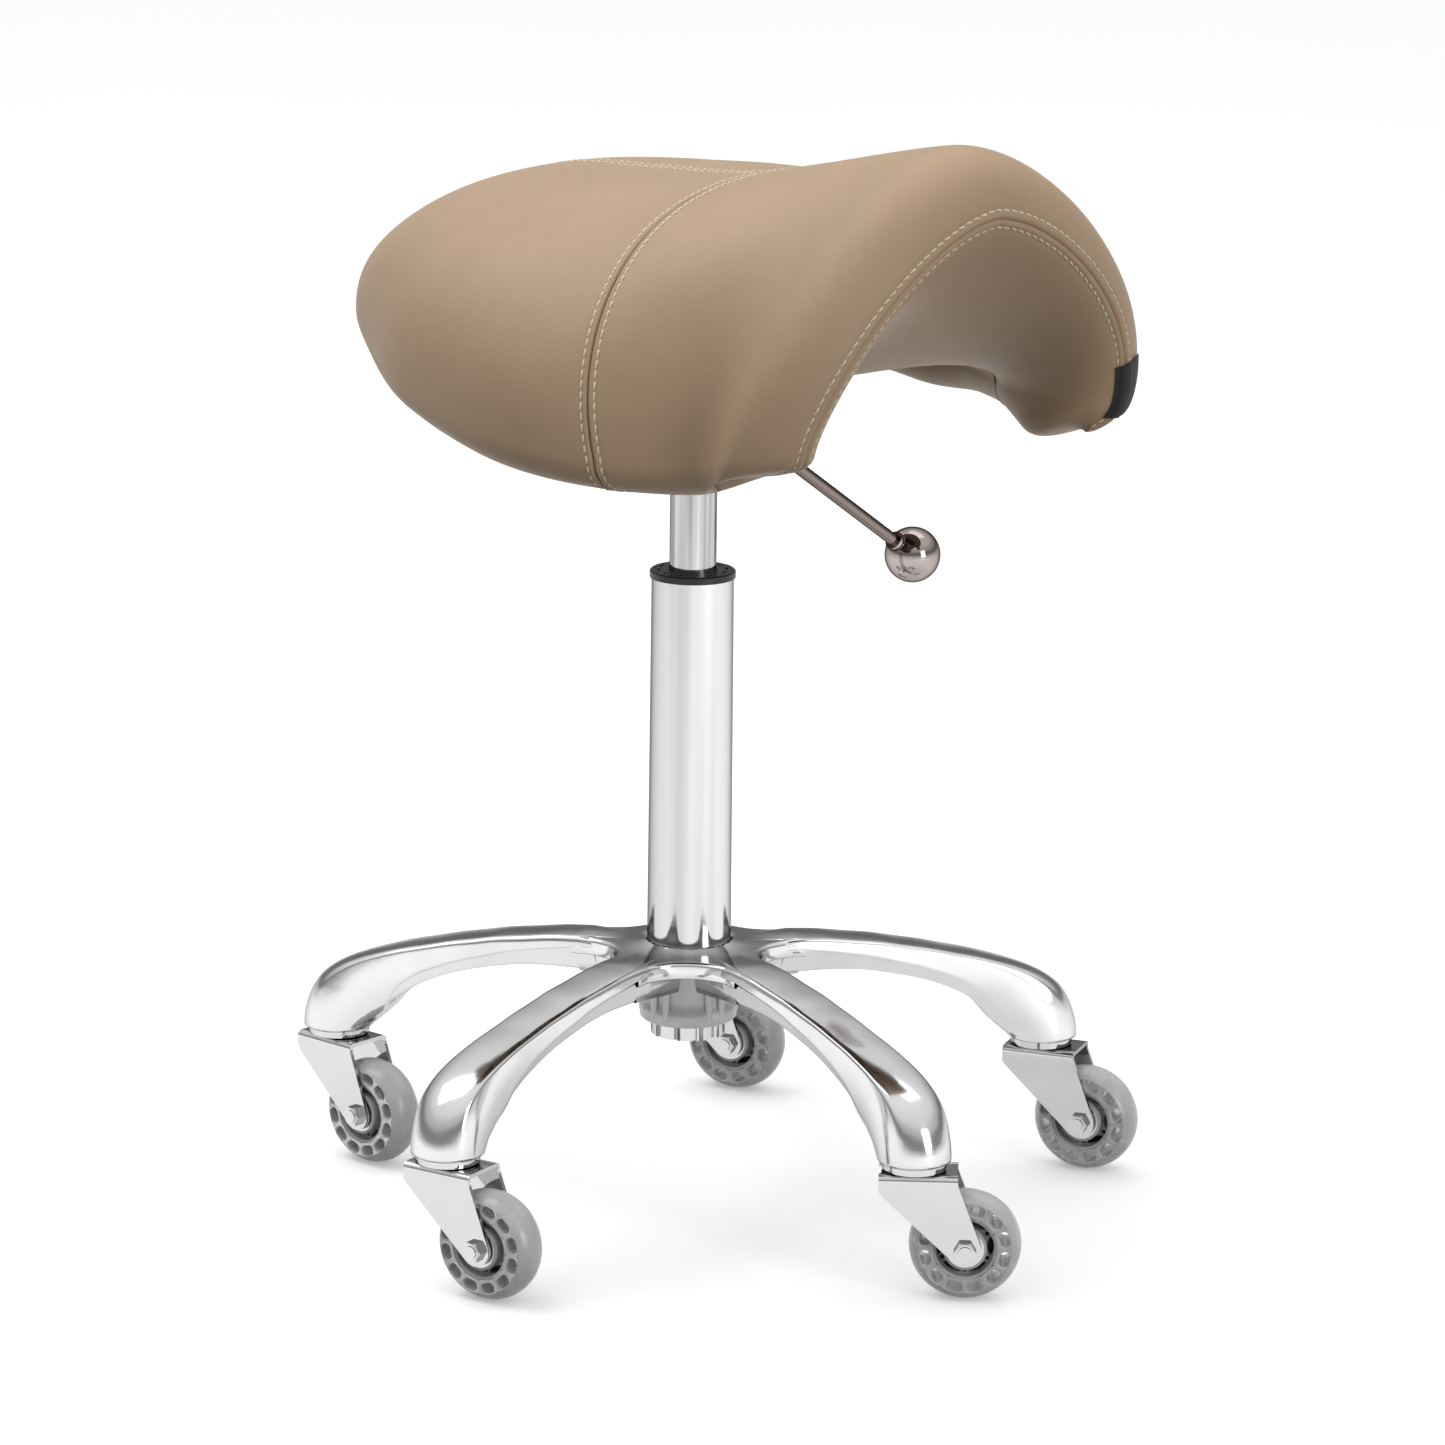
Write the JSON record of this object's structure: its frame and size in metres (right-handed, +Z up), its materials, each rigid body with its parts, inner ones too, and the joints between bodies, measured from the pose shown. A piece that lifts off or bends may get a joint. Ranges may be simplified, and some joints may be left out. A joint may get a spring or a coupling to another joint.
{
  "type": "dentist stool",
  "caption": "Saddle-seat dentist stool with stitched leather cover, gas-lift column with ball lever, and five-arm polished base on casters.",
  "frame": {"origin": "on the floor directly below the column axis", "axes": "+Z up along the column; -Y towards the open gap between two arms; the saddle's narrow front points 46 degrees clockwise from +X"},
  "size_m": [0.5193, 0.5078, 0.6622],
  "materials": {
    "polished_aluminium": "polished",
    "chrome": "mirror chrome plate",
    "chrome_dark": "mirror, slightly warm",
    "zinc_steel": "bright zinc plate",
    "black_plastic": "moulded, satin",
    "black_steel": "black powder coat",
    "plywood": "moulded beech plywood",
    "foam": "open-cell polyurethane foam",
    "lining": "non-woven dust lining",
    "tag": "plain woven tag",
    "taupe_leather": "smooth semi-matt upholstery leather",
    "grey_plastic": "satin moulded nylon",
    "clear_grey_tyre": "translucent grey polyurethane"
  },
  "bodies": {
    "base": {"star_base": "polished_aluminium", "column_tube": "chrome", "column_cap": "black_plastic", "guide_bush": "black_plastic", "ring_nut": "chrome", "thrust_bearing": "zinc_steel", "stem_1": "zinc_steel", "stem_2": "zinc_steel", "stem_3": "zinc_steel", "stem_4": "zinc_steel", "stem_5": "zinc_steel", "raceway_1": "chrome", "raceway_2": "chrome", "raceway_3": "chrome", "raceway_4": "chrome", "raceway_5": "chrome"},
    "lift_rod": {"piston_rod": "zinc_steel", "piston": "black_plastic", "rod_clip": "zinc_steel"},
    "seat": {"gas_cylinder": "chrome", "cylinder_gland": "black_plastic", "mount_plate": "black_steel", "plate_bolts": "zinc_steel", "pivot_pin": "zinc_steel", "seat_pan": "plywood", "seat_foam": "foam", "seat_lining": "lining", "cover_rear_left": "taupe_leather", "cover_rear_right": "taupe_leather", "cover_front": "taupe_leather", "cover_nose": "taupe_leather", "label_tag": "tag"},
    "lever": {"lever_rod": "chrome", "lever_ball": "chrome_dark"},
    "release": {"release_pin": "zinc_steel"},
    "caster_1": {"fork_1": "chrome", "axle_1": "zinc_steel"},
    "wheel_1": {"core_1": "grey_plastic", "tyre_1": "clear_grey_tyre", "bearing_1": "zinc_steel"},
    "caster_2": {"fork_2": "chrome", "axle_2": "zinc_steel"},
    "wheel_2": {"core_2": "grey_plastic", "tyre_2": "clear_grey_tyre", "bearing_2": "zinc_steel"},
    "caster_3": {"fork_3": "chrome", "axle_3": "zinc_steel"},
    "wheel_3": {"core_3": "grey_plastic", "tyre_3": "clear_grey_tyre", "bearing_3": "zinc_steel"},
    "caster_4": {"fork_4": "chrome", "axle_4": "zinc_steel"},
    "wheel_4": {"core_4": "grey_plastic", "tyre_4": "clear_grey_tyre", "bearing_4": "zinc_steel"},
    "caster_5": {"fork_5": "chrome", "axle_5": "zinc_steel"},
    "wheel_5": {"core_5": "grey_plastic", "tyre_5": "clear_grey_tyre", "bearing_5": "zinc_steel"}
  },
  "joints": [
    {"name": "seat_swivel", "type": "hinge", "parent": "base", "child": "lift_rod", "pos_m": [0, 0, 0.11], "axis": [0, 0, 1], "continuous": true},
    {"name": "seat_height", "type": "slide", "parent": "lift_rod", "child": "seat", "axis": [0, 0, 1], "range_m": [-0.065, 0.075]},
    {"name": "lever_lift", "type": "hinge", "parent": "seat", "child": "lever", "pos_m": [0.01726, 0.01667, 0.4985], "axis": [0.6947, -0.7193, 0], "range_deg": [0, 6], "stiffness_Nm_per_rad": 12, "springref_deg": -6.88},
    {"name": "pin_press", "type": "slide", "parent": "seat", "child": "release", "axis": [0, 0, 1], "range_m": [-0.0027, 0.0002]},
    {"name": "caster_1_swivel", "type": "hinge", "parent": "base", "child": "caster_1", "pos_m": [-0.13401, -0.18446, 0.0765], "axis": [0, 0, 1], "continuous": true},
    {"name": "wheel_1_spin", "type": "hinge", "parent": "caster_1", "child": "wheel_1", "pos_m": [-0.10832, -0.20051, 0.0325], "axis": [-0.5299, -0.848, 0], "continuous": true},
    {"name": "caster_2_swivel", "type": "hinge", "parent": "base", "child": "caster_2", "pos_m": [0.13401, -0.18446, 0.0765], "axis": [0, 0, 1], "continuous": true},
    {"name": "wheel_2_spin", "type": "hinge", "parent": "caster_2", "child": "wheel_2", "pos_m": [0.1643, -0.18535, 0.0325], "axis": [-0.0297, -0.9996, 0], "continuous": true},
    {"name": "caster_3_swivel", "type": "hinge", "parent": "base", "child": "caster_3", "pos_m": [0.21684, 0.07046, 0.0765], "axis": [0, 0, 1], "continuous": true},
    {"name": "wheel_3_spin", "type": "hinge", "parent": "caster_3", "child": "wheel_3", "pos_m": [0.24535, 0.06019, 0.0325], "axis": [-0.3387, -0.9409, 0], "continuous": true},
    {"name": "caster_4_swivel", "type": "hinge", "parent": "base", "child": "caster_4", "pos_m": [0, 0.228, 0.0765], "axis": [0, 0, 1], "continuous": true},
    {"name": "wheel_4_spin", "type": "hinge", "parent": "caster_4", "child": "wheel_4", "pos_m": [0.02783, 0.21602, 0.0325], "axis": [-0.3955, -0.9184, 0], "continuous": true},
    {"name": "caster_5_swivel", "type": "hinge", "parent": "base", "child": "caster_5", "pos_m": [-0.21684, 0.07046, 0.0765], "axis": [0, 0, 1], "continuous": true},
    {"name": "wheel_5_spin", "type": "hinge", "parent": "caster_5", "child": "wheel_5", "pos_m": [-0.1939, 0.05066, 0.0325], "axis": [-0.6534, -0.757, 0], "continuous": true}
  ],
  "couplings": [
    {"joint": "pin_press", "follows": "lever_lift", "m_per_rad": -0.024}
  ]
}
